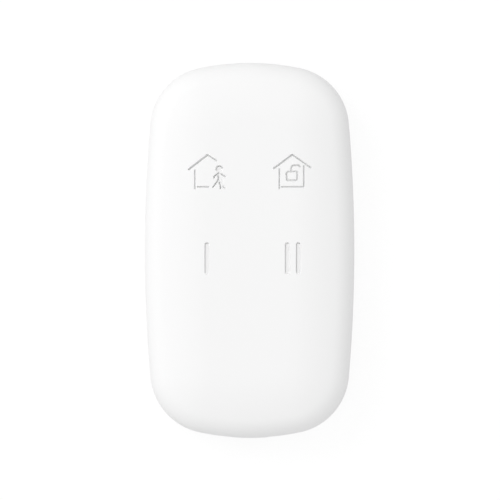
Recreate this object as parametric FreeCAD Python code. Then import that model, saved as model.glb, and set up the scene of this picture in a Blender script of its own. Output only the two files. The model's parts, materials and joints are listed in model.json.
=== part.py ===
"""Four-key wireless alarm remote, a pebble-shaped hand-held keypad.

The remote lies on its back. X runs across the face, Y runs up the face to its top end and Z comes
out of it. The origin is on the flat back, below the middle of the outline. All sizes are in
millimetres.
"""

import FreeCAD, Part

import math
import os

Vector = FreeCAD.Vector

# Outline of the housing, eight tangent arcs
LENGTH = 63.0
WIDTH = 35.2
SIDE_RADIUS = 248.0
END_RADIUS = 41.0
CORNER_RADIUS = 10.4

# Heights and curves of the housing
THICKNESS = 12.0
SPLIT_HEIGHT = 4.6
FRONT_RIM_RADIUS = 4.3
REAR_RIM_RADIUS = 4.2
SHOULDER_SLOPE = 17.0
PLATEAU_INSET = 10.2
SPLIT_CHAMFER = 0.2

# Straight steps that each curve of a wall is made of
OUTER_RIM_STEPS = 5
INNER_RIM_STEPS = 1
OUTER_SHOULDER_STEPS = 2
INNER_SHOULDER_STEPS = 1

# Walls
SKIN_WALL = 0.9
FRAME_WALL = 1.1
BOND_GAP = 0.03
REAR_WALL = 1.4
LIP_CLEARANCE = 0.12
LIP_WALL = 0.8
LIP_HEIGHT = 0.9
LIP_LENGTH = 30.0
LIP_FOOT_DEPTH = 1.2

# Keys
KEY_NAMES = ("arm", "disarm", "one", "two")
KEY_PITCH_X = 14.4
KEY_PITCH_Y = 14.65
KEY_TOP_DISTANCE = 18.2
KEY_TRAVEL = 0.35
ZONE_SIDES = 8
PAD_REACH = 5.8
PAD_GAP = 0.06
WELL_CLEARANCE = 0.15
STOP_CLEARANCE = 0.12
PLUNGER_REACH = 5.4
PLUNGER_HEAD_DEPTH = 1.4
PLUNGER_FOOT_REACH = 1.9
PLUNGER_FOOT_HEIGHT = 0.6
PLUNGER_RIB = 0.9
PLUNGER_RIB_REACH = 3.2
COLLAR_WALL = 0.85
COLLAR_SWITCH_GAP = 0.2

# Circuit board
BOARD_THICKNESS = 0.8
BOARD_EDGE_GAP = 0.45
BOARD_HOLE_CLEARANCE = 0.2

# Tactile switches
SWITCH_SIDE = 4.5
SWITCH_HEIGHT = 1.5
SWITCH_BASE = 0.35
SWITCH_COVER = 0.25
SWITCH_CHAMFER = 0.5
SWITCH_CAVITY_REACH = 2.0
SWITCH_LEG_WIDTH = 0.6
SWITCH_LEG_LENGTH = 0.7
SWITCH_LEG_THICKNESS = 0.15
SWITCH_LEG_SPREAD = 3.0
STEM_REACH = 1.3
STEM_FLANGE_REACH = 1.75
STEM_FLANGE = 0.35
STEM_CLEARANCE = 0.05
STEM_PROUD = 0.4
DOME_REACH = 1.9
DOME_CROWN_REACH = 0.7
DOME_SHEET = 0.08
DOME_GAP = 0.02

# Screws that hold the two halves together
SCREW_END_DISTANCE = 5.5
SCREW_RADIUS = 0.9
SCREW_CLEARANCE = 0.12
SCREW_THREAD_CLEARANCE = 0.02
SCREW_HEAD_RADIUS = 1.6
SCREW_HEAD_HEIGHT = 1.0
SCREW_HEAD_SINK = 0.5
SCREW_REACH = 2.3
SCREW_BORE_SPARE = 0.4
CROSS_SLOT_LENGTH = 1.9
CROSS_SLOT_WIDTH = 0.42
CROSS_SLOT_DEPTH = 0.6
REAR_BOSS_RADIUS = 2.5
FRAME_BOSS_RADIUS = 2.1

# Posts and ribs under the frame
POST_SIDE = 1.8
POST_SIDE_DISTANCE = 8.1
POST_END_DISTANCE = 6.5
RIB_WALL = 0.8
RIB_DEPTH = 1.3
RIB_SPAN = 20.0
RIB_COUNT = 3
RIB_PITCH = 4.6
RIB_COLLAR_GAP = 4.0

# Coin cell and its contacts
CELL_RADIUS = 10.0
CELL_HEIGHT = 3.2
CELL_BOARD_GAP = 0.75
CELL_BOSS_GAP = 1.6
CELL_CAP_RADIUS = 8.8
CELL_CAP_HEIGHT = 0.3
CELL_RING_GAP = 0.3
CELL_RING_WALL = 0.8
CELL_RING_HEIGHT = 2.8
CELL_RING_OPENING = 9.0
CLIP_SHEET = 0.25
CLIP_WIDTH = 8.0
CLIP_SIDE_GAP = 0.35
CLIP_FLOOR_GAP = 0.1
CLIP_FOOT = 2.0
CLIP_BEND_RADIUS = 0.45
CLIP_NOTCH_CLEARANCE = 0.8
LEAF_SHEET = 0.15
LEAF_WIDTH = 3.0
LEAF_FOOT = 2.4
LEAF_SLOPE = 3.4
LEAF_TIP = 1.2
LEAF_TIP_RISE = 0.3
LEAF_BEND_RADIUS = 0.6

# Lanyard eye in the lower end
EYE_PAD_HALF_WIDTH = 3.05
EYE_PAD_PROUD = 0.13
EYE_PAD_FOOT = 0.9
EYE_HALF_WIDTH = 2.35
EYE_FLOOR = 1.3
EYE_HEIGHT = 2.3
EYE_CHAMFER = 0.35
EYE_DEPTH = 2.4
EYE_BAR_HALF_WIDTH = 0.85
EYE_BAR_THICKNESS = 1.1
EYE_BLOCK_WALL = 1.0

# Indicator
LED_FROM_TOP_SCREW = 6.5
LED_LENGTH = 1.6
LED_WIDTH = 0.8
LED_HEIGHT = 0.6
PIPE_REACH = 1.0
PIPE_FLANGE_REACH = 1.5
PIPE_FLANGE = 0.5
PIPE_CLEARANCE = 0.08
PIPE_LED_GAP = 0.1
PIPE_SEAT_GAP = 0.02
GLOW_WALL = 0.5

# Parts on the board
CHIP_SIDE = 5.0
CHIP_HEIGHT = 0.85
CHIP_KEY_DISTANCE = 7.65
CHIP_MARK_REACH = 0.35
CHIP_MARK_DEPTH = 0.08
CHIP_MARK_EDGE_DISTANCE = 1.0
CHIP_EDGE = 0.15
CRYSTAL_LENGTH = 3.2
CRYSTAL_WIDTH = 2.5
CRYSTAL_HEIGHT = 0.8
CRYSTAL_LID_STEP = 0.2
CRYSTAL_CHIP_GAP = 1.2
PASSIVE_LENGTH = 1.0
PASSIVE_WIDTH = 0.5
PASSIVE_HEIGHT = 0.45
PASSIVE_PITCH = 1.6
PASSIVE_COUNT = 4
PASSIVE_CAP = 0.25
PASSIVE_CAP_PROUD = 0.03
ANTENNA_WIDTH = 0.6
ANTENNA_SHEET = 0.3
ANTENNA_EDGE_GAP = 1.6
ANTENNA_BOSS_GAP = 1.4
ANTENNA_FOOT_DROP = 2.65
ANTENNA_RISE = 0.9
ANTENNA_CORNER_RADIUS = 2.4

# The shoulder arc, tangent to the rim below it and to the plateau above it
SLOPE = math.radians(SHOULDER_SLOPE)
SHOULDER_RADIUS = (PLATEAU_INSET - FRONT_RIM_RADIUS * (1 - math.sin(SLOPE))) / math.sin(SLOPE)
SHOULDER_CENTRE = THICKNESS - SHOULDER_RADIUS
FRONT_RIM_CENTRE = SHOULDER_CENTRE + (SHOULDER_RADIUS - FRONT_RIM_RADIUS) * math.cos(SLOPE)

# Insets of the walls from the outline
FRAME_INSET = SKIN_WALL + BOND_GAP
FRAME_INNER_INSET = FRAME_INSET + FRAME_WALL
LIP_INSET = FRAME_INNER_INSET + LIP_CLEARANCE
LIP_INNER_INSET = LIP_INSET + LIP_WALL
BOARD_INSET = LIP_INNER_INSET + BOARD_EDGE_GAP
FRAME_CEILING = FRONT_RIM_CENTRE + FRONT_RIM_RADIUS - FRAME_INNER_INSET

# Heights of the stack, from the rear floor up
CELL_BOTTOM = REAR_WALL + CLIP_FLOOR_GAP + CLIP_SHEET
CELL_TOP = CELL_BOTTOM + CELL_HEIGHT
BOARD_UNDERSIDE = CELL_TOP + CELL_BOARD_GAP
BOARD_TOP = BOARD_UNDERSIDE + BOARD_THICKNESS
SWITCH_CAVITY_FLOOR = BOARD_TOP + SWITCH_BASE
SWITCH_TOP = BOARD_TOP + SWITCH_HEIGHT
STEM_FLANGE_TOP = SWITCH_TOP - SWITCH_COVER - STEM_CLEARANCE
STEM_FLANGE_BOTTOM = STEM_FLANGE_TOP - STEM_FLANGE
STEM_TOP = SWITCH_TOP + STEM_PROUD
COLLAR_BOTTOM = STEM_TOP + COLLAR_SWITCH_GAP
PLUNGER_HEAD_BOTTOM = THICKNESS - FRAME_INSET - PLUNGER_HEAD_DEPTH
SCREW_SEAT = SCREW_HEAD_SINK + SCREW_HEAD_HEIGHT
LED_TOP = BOARD_TOP + LED_HEIGHT
GLOW_TOP = THICKNESS - GLOW_WALL

# Sizes of the wells that moving and loose pieces sit in
WELL_REACH = PLUNGER_REACH + WELL_CLEARANCE
PAD_HOLE_REACH = PAD_REACH + PAD_GAP
CELL_RING_RADIUS = CELL_RADIUS + CELL_RING_GAP

# Places along and across the face
SCREW_Y = LENGTH / 2 - SCREW_END_DISTANCE
KEY_UPPER_ROW = LENGTH / 2 - KEY_TOP_DISTANCE
KEY_LOWER_ROW = KEY_UPPER_ROW - KEY_PITCH_Y
POST_X = WIDTH / 2 - POST_SIDE_DISTANCE
POST_Y = LENGTH / 2 - POST_END_DISTANCE
FIRST_RIB_Y = KEY_LOWER_ROW - WELL_REACH - COLLAR_WALL - RIB_COLLAR_GAP
CELL_Y = -SCREW_Y + REAR_BOSS_RADIUS + CELL_BOSS_GAP + CELL_RING_RADIUS + CELL_RING_WALL
CHIP_Y = KEY_LOWER_ROW - CHIP_KEY_DISTANCE
LED_Y = SCREW_Y - LED_FROM_TOP_SCREW
ANTENNA_X = WIDTH / 2 - BOARD_INSET - ANTENNA_EDGE_GAP
ANTENNA_TOP_Y = SCREW_Y - FRAME_BOSS_RADIUS - ANTENNA_BOSS_GAP
ANTENNA_FOOT_Y = KEY_LOWER_ROW - ANTENNA_FOOT_DROP

# How far a cutting shape reaches past what it cuts, and how near counts as touching
BEYOND = 1.0
TOUCH = 1e-3
ABOVE_ALL = THICKNESS + BEYOND


def unit(v):
    """The direction of a vector."""
    return v.normalize() if v.Length else v


def corner_centre():
    """Centre of the upper right corner arc, which touches the side arc and the end arc."""
    side = Vector(WIDTH / 2 - SIDE_RADIUS, 0, 0)
    end = Vector(0, LENGTH / 2 - END_RADIUS, 0)
    from_side = SIDE_RADIUS - CORNER_RADIUS
    from_end = END_RADIUS - CORNER_RADIUS
    apart = (end - side).Length
    along = (from_side**2 - from_end**2 + apart**2) / (2 * apart)
    across = math.sqrt(from_side**2 - along**2)
    u = unit(end - side)
    left = Vector(-u.y, u.x, 0)
    found = [side + u * along + left * across * s for s in (-1, 1)]
    return max(found, key=lambda p: p.x + p.y)


def outline(inset, height):
    """Closed wire of the housing's outline, moved inwards by inset, at a height."""
    side = Vector(WIDTH / 2 - SIDE_RADIUS, 0, 0)
    end = Vector(0, LENGTH / 2 - END_RADIUS, 0)
    corner = corner_centre()
    to_side = unit(corner - side)
    to_end = unit(corner - end)
    radius = CORNER_RADIUS - inset
    a = side + to_side * (SIDE_RADIUS - inset)
    b = corner + unit(to_side + to_end) * radius
    c = end + to_end * (END_RADIUS - inset)
    right = Vector(WIDTH / 2 - inset, 0, 0)
    top = Vector(0, LENGTH / 2 - inset, 0)

    def at(p, sx, sy):
        """The point mirrored into a quarter of the outline, at the height."""
        return Vector(p.x * sx, p.y * sy, height)

    arcs = [
        (at(a, 1, -1), at(right, 1, 1), at(a, 1, 1)),
        (at(a, 1, 1), at(b, 1, 1), at(c, 1, 1)),
        (at(c, 1, 1), at(top, 1, 1), at(c, -1, 1)),
        (at(c, -1, 1), at(b, -1, 1), at(a, -1, 1)),
        (at(a, -1, 1), at(right, -1, 1), at(a, -1, -1)),
        (at(a, -1, -1), at(b, -1, -1), at(c, -1, -1)),
        (at(c, -1, -1), at(top, 1, -1), at(c, 1, -1)),
        (at(c, 1, -1), at(b, 1, -1), at(a, 1, -1)),
    ]
    return Part.Wire([Part.Arc(*arc).toShape() for arc in arcs])


def prism(inset, low, high):
    """The outline, moved inwards by inset, as a solid between two heights."""
    return Part.Face(outline(inset, low)).extrude(Vector(0, 0, high - low))


def ring(outer_inset, inner_inset, low, high):
    """A closed wall that follows the outline between two insets."""
    return prism(outer_inset, low, high).cut(prism(inner_inset, low - BEYOND, high + BEYOND))


def cylinder(radius, low, high, x=0.0, y=0.0):
    """An upright cylinder between two heights."""
    return Part.makeCylinder(radius, high - low, Vector(x, y, low))


def block(half_x, half_y, low, high, x=0.0, y=0.0):
    """An upright box about (x, y) between two heights."""
    return Part.makeBox(2 * half_x, 2 * half_y, high - low, Vector(x - half_x, y - half_y, low))


def zone(reach, low, high, x, y):
    """An upright eight-sided prism about (x, y), the form of a press zone."""
    corner_reach = reach / math.cos(math.pi / ZONE_SIDES)
    corners = []
    for i in range(ZONE_SIDES + 1):
        angle = (2 * i + 1) * math.pi / ZONE_SIDES
        spoke = Vector(math.cos(angle), math.sin(angle), 0) * corner_reach
        corners.append(Vector(x, y, low) + spoke)
    return Part.Face(Part.makePolygon(corners)).extrude(Vector(0, 0, high - low))


def rim_profile(radius, inset, last_angle, steps):
    """Insets and rises of points on a rim arc that starts upright and leans inwards up to an angle."""
    arm = radius - inset
    points = []
    for i in range(steps + 1):
        angle = last_angle * i / steps
        points.append((radius - arm * math.cos(angle), arm * math.sin(angle)))
    return points


def stacked(profile):
    """The solid inside the outline, moved in by the given inset at each of the given heights."""
    return Part.makeLoft([outline(inset, height) for inset, height in profile], True, True)


def front_body(inset, rim_steps, shoulder_steps, chamfer=0.0):
    """The front half of the pebble, all its faces moved inwards by inset apart from the split plane."""
    profile = [(inset + chamfer, SPLIT_HEIGHT)]
    if chamfer:
        profile.append((inset, SPLIT_HEIGHT + chamfer))
    for d, rise in rim_profile(FRONT_RIM_RADIUS, inset, math.pi / 2 - SLOPE, rim_steps):
        profile.append((d, FRONT_RIM_CENTRE + rise))
    arm = SHOULDER_RADIUS - inset
    for i in range(1, shoulder_steps + 1):
        slope = SLOPE * (1 - i / shoulder_steps)
        profile.append((PLATEAU_INSET - arm * math.sin(slope), SHOULDER_CENTRE + arm * math.cos(slope)))
    return stacked(profile)


def hollow_body(inset, rim_steps):
    """The room inside the frame, with a rounded rim and a flat ceiling."""
    profile = [(inset, SPLIT_HEIGHT)]
    for d, rise in rim_profile(FRONT_RIM_RADIUS, inset, math.pi / 2, rim_steps):
        profile.append((d, FRONT_RIM_CENTRE + rise))
    return stacked(profile)


def rear_body(inset, rim_steps, chamfer=0.0):
    """The rear half of the pebble, all its faces moved inwards by inset apart from the split plane."""
    rim = rim_profile(REAR_RIM_RADIUS, inset, math.pi / 2, rim_steps)
    profile = [(d, REAR_RIM_RADIUS - rise) for d, rise in reversed(rim)]
    profile.append((inset, SPLIT_HEIGHT - chamfer))
    if chamfer:
        profile.append((inset + chamfer, SPLIT_HEIGHT))
    return stacked(profile)


def key_places():
    """The centre of each key, by its name."""
    places = {}
    for i, name in enumerate(KEY_NAMES):
        x = (i % 2 - 0.5) * KEY_PITCH_X
        y = KEY_UPPER_ROW - (i // 2) * KEY_PITCH_Y
        places[name] = (x, y)
    return places


def front_skin(front, under_skin):
    """The soft skin over the face, with a press zone left out for each key."""
    skin = front.cut(under_skin)
    for x, y in key_places().values():
        skin = skin.cut(zone(PAD_HOLE_REACH, SPLIT_HEIGHT, ABOVE_ALL, x, y))
    return skin.cut(zone(PIPE_REACH + PIPE_CLEARANCE, SPLIT_HEIGHT, GLOW_TOP, 0, LED_Y))


def key_pad(front, under_skin, x, y):
    """The soft press zone of one key, a piece of the skin."""
    return front.cut(under_skin).common(zone(PAD_REACH, SPLIT_HEIGHT, ABOVE_ALL, x, y))


def key_plunger(in_frame, x, y):
    """The hard piece under a press zone: a head, a cross of ribs below it and a foot on the switch."""
    head = zone(PLUNGER_REACH, PLUNGER_HEAD_BOTTOM, ABOVE_ALL, x, y)
    along = block(PLUNGER_RIB_REACH, PLUNGER_RIB / 2, STEM_TOP, PLUNGER_HEAD_BOTTOM, x, y)
    across = block(PLUNGER_RIB / 2, PLUNGER_RIB_REACH, STEM_TOP, PLUNGER_HEAD_BOTTOM, x, y)
    foot = zone(PLUNGER_FOOT_REACH, STEM_TOP, STEM_TOP + PLUNGER_FOOT_HEIGHT, x, y)
    return head.fuse([along, across, foot]).common(in_frame).removeSplitter()


def frame_ribs():
    """Cross ribs below the ceiling of the frame, beside the keys, and a spine that joins them."""
    low = FRAME_CEILING - RIB_DEPTH
    high = FRAME_CEILING + FRAME_WALL / 2
    ribs = []
    for i in range(RIB_COUNT):
        y = FIRST_RIB_Y - i * RIB_PITCH
        ribs.append(block(RIB_SPAN / 2, RIB_WALL / 2, low, high, 0, y))
    reach = (RIB_COUNT - 1) * RIB_PITCH
    ribs.append(block(RIB_WALL / 2, reach / 2, low, high, 0, FIRST_RIB_Y - reach / 2))
    return ribs


def front_frame(in_frame, inside):
    """The hard frame under the skin: a domed wall with key wells, collars, screw bosses, posts and ribs."""
    frame = in_frame.cut(inside)
    additions = frame_ribs()
    inside_wall = FRAME_CEILING + FRAME_WALL / 2
    for x, y in key_places().values():
        additions.append(zone(WELL_REACH + COLLAR_WALL, COLLAR_BOTTOM, inside_wall, x, y))
    for sy in (-1, 1):
        additions.append(cylinder(FRAME_BOSS_RADIUS, BOARD_TOP, inside_wall, 0, sy * SCREW_Y))
        for sx in (-1, 1):
            half = POST_SIDE / 2
            additions.append(block(half, half, BOARD_TOP, inside_wall, sx * POST_X, sy * POST_Y))
    frame = frame.fuse(additions).removeSplitter()
    stop = in_frame.copy()
    stop.translate(Vector(0, 0, -KEY_TRAVEL - STOP_CLEARANCE))
    for x, y in key_places().values():
        frame = frame.cut(zone(WELL_REACH, SPLIT_HEIGHT, ABOVE_ALL, x, y))
        frame = frame.cut(zone(PAD_HOLE_REACH, SPLIT_HEIGHT, ABOVE_ALL, x, y).cut(stop))
    bore_radius = SCREW_RADIUS + SCREW_THREAD_CLEARANCE
    bore_top = BOARD_TOP + SCREW_REACH + SCREW_BORE_SPARE
    for sy in (-1, 1):
        frame = frame.cut(cylinder(bore_radius, BOARD_TOP - BEYOND, bore_top, 0, sy * SCREW_Y))
    return frame.cut(zone(PIPE_REACH + PIPE_CLEARANCE, SPLIT_HEIGHT, ABOVE_ALL, 0, LED_Y))


def lanyard_block():
    """The thick block behind the lower end wall that the lanyard eye is cut into."""
    inner = LENGTH / 2 - EYE_DEPTH - EYE_BLOCK_WALL
    deep = block(EYE_HALF_WIDTH + EYE_BLOCK_WALL, LENGTH, 0, SPLIT_HEIGHT, 0, -LENGTH - inner)
    raised = block(EYE_PAD_HALF_WIDTH, LENGTH, EYE_PAD_FOOT, SPLIT_HEIGHT, 0, -LENGTH - inner)
    solid = deep.common(rear_body(0, OUTER_RIM_STEPS))
    return solid.fuse(raised.common(rear_body(-EYE_PAD_PROUD, OUTER_RIM_STEPS)))


def lanyard_eye():
    """The room for the cord: a slot behind an upright bar."""
    back = LENGTH / 2 - EYE_DEPTH
    slot = block(EYE_HALF_WIDTH, LENGTH, EYE_FLOOR, EYE_FLOOR + EYE_HEIGHT, 0, -LENGTH - back)
    bar_back = LENGTH / 2 + EYE_PAD_PROUD - EYE_BAR_THICKNESS
    bar = block(EYE_BAR_HALF_WIDTH, LENGTH, EYE_FLOOR, EYE_FLOOR + EYE_HEIGHT, 0, -LENGTH - bar_back)
    along_y = [e for e in slot.Edges if abs(e.Vertexes[0].Y - e.Vertexes[-1].Y) > TOUCH]
    return slot.makeChamfer(EYE_CHAMFER, along_y).cut(bar)


def cell_ring():
    """Four curved stops on the rear floor that centre the coin cell."""
    high = REAR_WALL + CELL_RING_HEIGHT
    wall = cylinder(CELL_RING_RADIUS + CELL_RING_WALL, REAR_WALL / 2, high, 0, CELL_Y)
    wall = wall.cut(cylinder(CELL_RING_RADIUS, 0, high + BEYOND, 0, CELL_Y))
    wall = wall.cut(block(CELL_RING_OPENING / 2, WIDTH, 0, high + BEYOND, 0, CELL_Y))
    return wall.cut(block(WIDTH, CLIP_WIDTH / 2 + CLIP_NOTCH_CLEARANCE, 0, high + BEYOND, 0, CELL_Y))


def lip_tabs():
    """The two low walls along the sides that reach into the frame, each on a thickened foot."""
    foot_bottom = SPLIT_HEIGHT - LIP_FOOT_DEPTH
    foot = ring(REAR_WALL / 2, LIP_INNER_INSET, foot_bottom, SPLIT_HEIGHT)
    lip = ring(LIP_INSET, LIP_INNER_INSET, foot_bottom, SPLIT_HEIGHT + LIP_HEIGHT)
    span = block(WIDTH, LIP_LENGTH / 2, foot_bottom, SPLIT_HEIGHT + LIP_HEIGHT)
    return foot.fuse(lip).common(span)


def rear_shell():
    """The rear half: shell, lip tabs, screw bosses, coin cell stops, lanyard eye and screw holes."""
    shell = rear_body(0, OUTER_RIM_STEPS, SPLIT_CHAMFER).cut(rear_body(REAR_WALL, INNER_RIM_STEPS))
    additions = [lip_tabs(), lanyard_block(), cell_ring()]
    for sy in (-1, 1):
        additions.append(cylinder(REAR_BOSS_RADIUS, REAR_WALL / 2, BOARD_UNDERSIDE, 0, sy * SCREW_Y))
    shell = shell.fuse(additions).cut(lanyard_eye())
    shank_bore = SCREW_RADIUS + SCREW_CLEARANCE
    head_bore = SCREW_HEAD_RADIUS + SCREW_CLEARANCE
    for sy in (-1, 1):
        y = sy * SCREW_Y
        shell = shell.cut(cylinder(shank_bore, -BEYOND, BOARD_UNDERSIDE + BEYOND, 0, y))
        shell = shell.cut(cylinder(head_bore, -BEYOND, SCREW_SEAT, 0, y))
    return shell.removeSplitter()


def circuit_board():
    """The board, with a hole for each screw."""
    board = prism(BOARD_INSET, BOARD_UNDERSIDE, BOARD_TOP)
    for sy in (-1, 1):
        hole = cylinder(SCREW_RADIUS + BOARD_HOLE_CLEARANCE, 0, BOARD_TOP + BEYOND, 0, sy * SCREW_Y)
        board = board.cut(hole)
    return board


def rear_screws():
    """Two pan-head screws, each with a cross slot, driven in from the back."""
    slot_top = SCREW_HEAD_SINK + CROSS_SLOT_DEPTH
    screws = []
    for sy in (-1, 1):
        y = sy * SCREW_Y
        head = cylinder(SCREW_HEAD_RADIUS, SCREW_HEAD_SINK, SCREW_SEAT, 0, y)
        shank = cylinder(SCREW_RADIUS, SCREW_SEAT, BOARD_TOP + SCREW_REACH, 0, y)
        slots = block(CROSS_SLOT_LENGTH / 2, CROSS_SLOT_WIDTH / 2, 0, slot_top, 0, y)
        slots = slots.fuse(block(CROSS_SLOT_WIDTH / 2, CROSS_SLOT_LENGTH / 2, 0, slot_top, 0, y))
        screws.append(head.fuse(shank).removeSplitter().cut(slots))
    return Part.makeCompound(screws)


def switch_case(x, y):
    """The case of one tactile switch: a chamfered block with a cavity, a cover and four legs."""
    case = block(SWITCH_SIDE / 2, SWITCH_SIDE / 2, BOARD_TOP, SWITCH_TOP, x, y)
    upright = [e for e in case.Edges if abs(e.Vertexes[0].Z - e.Vertexes[-1].Z) > TOUCH]
    case = case.makeChamfer(SWITCH_CHAMFER, upright)
    reach = SWITCH_SIDE / 2 + SWITCH_LEG_LENGTH
    leg_top = BOARD_TOP + SWITCH_LEG_THICKNESS
    legs = []
    for sy in (-1, 1):
        leg_y = y + sy * SWITCH_LEG_SPREAD / 2
        legs.append(block(reach, SWITCH_LEG_WIDTH / 2, BOARD_TOP, leg_top, x, leg_y))
    case = case.fuse(legs)
    reach = SWITCH_CAVITY_REACH
    cavity = block(reach, reach, SWITCH_CAVITY_FLOOR, SWITCH_TOP - SWITCH_COVER, x, y)
    reach = STEM_REACH + STEM_CLEARANCE
    hole = block(reach, reach, SWITCH_CAVITY_FLOOR, SWITCH_TOP + BEYOND, x, y)
    return case.cut([cavity, hole])


def switch_stem(x, y):
    """The square button of one switch, kept in its case by a flange."""
    stem = block(STEM_REACH, STEM_REACH, STEM_FLANGE_BOTTOM, STEM_TOP, x, y)
    flange = block(STEM_FLANGE_REACH, STEM_FLANGE_REACH, STEM_FLANGE_BOTTOM, STEM_FLANGE_TOP, x, y)
    return stem.fuse(flange).removeSplitter()


def snap_form(foot, crown, rise, x, y):
    """A flat-topped pyramid on the floor of a switch, by the reach of its foot and of its crown."""
    form = Part.makeWedge(-foot, 0, -foot, -crown, -crown, foot, rise, foot, crown, crown)
    form.rotate(Vector(0, 0, 0), Vector(1, 0, 0), 90)
    form.translate(Vector(x, y, SWITCH_CAVITY_FLOOR))
    return form


def switch_dome(x, y):
    """The snap dome of one switch, a thin flat-topped cap with four sloping sides under the stem."""
    rise = STEM_FLANGE_BOTTOM - DOME_GAP - SWITCH_CAVITY_FLOOR
    slant = (DOME_REACH - DOME_CROWN_REACH) / rise * DOME_SHEET
    outside = snap_form(DOME_REACH, DOME_CROWN_REACH, rise, x, y)
    inside = snap_form(DOME_REACH - slant, DOME_CROWN_REACH, rise - DOME_SHEET, x, y)
    return outside.cut(inside)


def coin_cell():
    """The coin cell, its can downwards and its smaller cap towards the board."""
    can = cylinder(CELL_RADIUS, CELL_BOTTOM, CELL_TOP - CELL_CAP_HEIGHT, 0, CELL_Y)
    cap = cylinder(CELL_CAP_RADIUS, CELL_TOP - CELL_CAP_HEIGHT, CELL_TOP, 0, CELL_Y)
    return can.fuse(cap).removeSplitter()


def strip_side(path, bend, offset):
    """The edges of one side of a bent strip: a path in XZ with rounded corners, moved sideways."""

    def aside(direction):
        """The unit vector to the left of a direction."""
        return Vector(-direction.z, 0, direction.x)

    edges = []
    start = path[0] + aside(unit(path[1] - path[0])) * offset
    for before, corner, after in zip(path, path[1:], path[2:]):
        u = unit(corner - before)
        v = unit(after - corner)
        half_turn = u.getAngle(v) / 2
        trim = bend * math.tan(half_turn)
        centre = corner + unit(v - u) * (bend / math.cos(half_turn))
        turns_left = 1 if aside(u).dot(centre - corner) > 0 else -1
        first = corner - u * trim + aside(u) * offset
        last = corner + v * trim + aside(v) * offset
        middle = centre + unit(corner - centre) * (bend - turns_left * offset)
        edges.append(Part.makeLine(start, first))
        edges.append(Part.Arc(first, middle, last).toShape())
        start = last
    finish = path[-1] + aside(unit(path[-1] - path[-2])) * offset
    edges.append(Part.makeLine(start, finish))
    return edges


def bent_strip(path, bend, sheet, width, y):
    """A metal strip of one thickness that follows a path in the XZ plane, with its width along Y."""
    left = strip_side(path, bend, sheet / 2)
    right = strip_side(path, bend, -sheet / 2)
    caps = [
        Part.makeLine(left[0].Vertexes[0].Point, right[0].Vertexes[0].Point),
        Part.makeLine(left[-1].Vertexes[-1].Point, right[-1].Vertexes[-1].Point),
    ]
    wire = Part.Wire(Part.sortEdges(left + right + caps)[0])
    solid = Part.Face(wire).extrude(Vector(0, width, 0))
    solid.translate(Vector(0, y - width / 2, 0))
    return solid


def battery_clip():
    """The positive contact: a strip that hangs from the board, beside the coin cell and under it."""
    side = CELL_RADIUS + CLIP_SIDE_GAP + CLIP_SHEET / 2
    under = CELL_BOTTOM - CLIP_SHEET / 2
    foot = BOARD_UNDERSIDE - CLIP_SHEET / 2
    right = [Vector(side, 0, under), Vector(side, 0, foot), Vector(side + CLIP_FOOT, 0, foot)]
    left = [Vector(-p.x, 0, p.z) for p in reversed(right)]
    return bent_strip(left + right, CLIP_BEND_RADIUS, CLIP_SHEET, CLIP_WIDTH, CELL_Y)


def battery_leaf():
    """The negative contact: a leaf spring that slopes from the board down to the cap of the coin cell."""
    foot = BOARD_UNDERSIDE - LEAF_SHEET / 2
    touch = CELL_TOP + LEAF_SHEET / 2
    start = -LEAF_SLOPE / 2 - LEAF_FOOT
    path = [
        Vector(start, 0, foot),
        Vector(start + LEAF_FOOT, 0, foot),
        Vector(start + LEAF_FOOT + LEAF_SLOPE, 0, touch),
        Vector(start + LEAF_FOOT + LEAF_SLOPE + LEAF_TIP, 0, touch + LEAF_TIP_RISE),
    ]
    return bent_strip(path, LEAF_BEND_RADIUS, LEAF_SHEET, LEAF_WIDTH, CELL_Y)


def radio_chip():
    """The radio controller, a flat square package with a mark in one corner."""
    top = BOARD_TOP + CHIP_HEIGHT
    chip = block(CHIP_SIDE / 2, CHIP_SIDE / 2, BOARD_TOP, top, 0, CHIP_Y)
    rim = [e for e in chip.Edges if min(v.Z for v in e.Vertexes) > top - TOUCH]
    chip = chip.makeChamfer(CHIP_EDGE, rim)
    corner = CHIP_SIDE / 2 - CHIP_MARK_EDGE_DISTANCE
    mark = zone(CHIP_MARK_REACH, top - CHIP_MARK_DEPTH, top + BEYOND, -corner, CHIP_Y + corner)
    return chip.cut(mark)


def crystal():
    """The crystal beside the chip: a base and a slightly smaller metal lid."""
    y = CHIP_Y + CHIP_SIDE / 2 + CRYSTAL_CHIP_GAP + CRYSTAL_WIDTH / 2
    half_x = CRYSTAL_LENGTH / 2
    half_y = CRYSTAL_WIDTH / 2
    step = CRYSTAL_LID_STEP
    lid_bottom = BOARD_TOP + CRYSTAL_HEIGHT / 2
    base = block(half_x, half_y, BOARD_TOP, lid_bottom, 0, y)
    lid = block(half_x - step, half_y - step, lid_bottom, BOARD_TOP + CRYSTAL_HEIGHT, 0, y)
    return base.fuse(lid).removeSplitter()


def small_parts():
    """Two columns of resistors and capacitors beside the chip, each with a metal cap at both ends."""
    parts = []
    top = BOARD_TOP + PASSIVE_HEIGHT
    half_width = PASSIVE_WIDTH / 2
    middle = (PASSIVE_COUNT - 1) / 2
    for sx in (-1, 1):
        x = sx * (CHIP_SIDE / 2 + PASSIVE_PITCH)
        for i in range(PASSIVE_COUNT):
            y = CHIP_Y + (i - middle) * PASSIVE_PITCH
            body = block(PASSIVE_LENGTH / 2, half_width, BOARD_TOP, top, x, y)
            caps = []
            cap_top = top + PASSIVE_CAP_PROUD
            for end in (-1, 1):
                cap_x = x + end * (PASSIVE_LENGTH - PASSIVE_CAP) / 2
                caps.append(block(PASSIVE_CAP / 2, half_width, BOARD_TOP, cap_top, cap_x, y))
            parts.append(body.fuse(caps).removeSplitter())
    return Part.makeCompound(parts)


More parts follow.
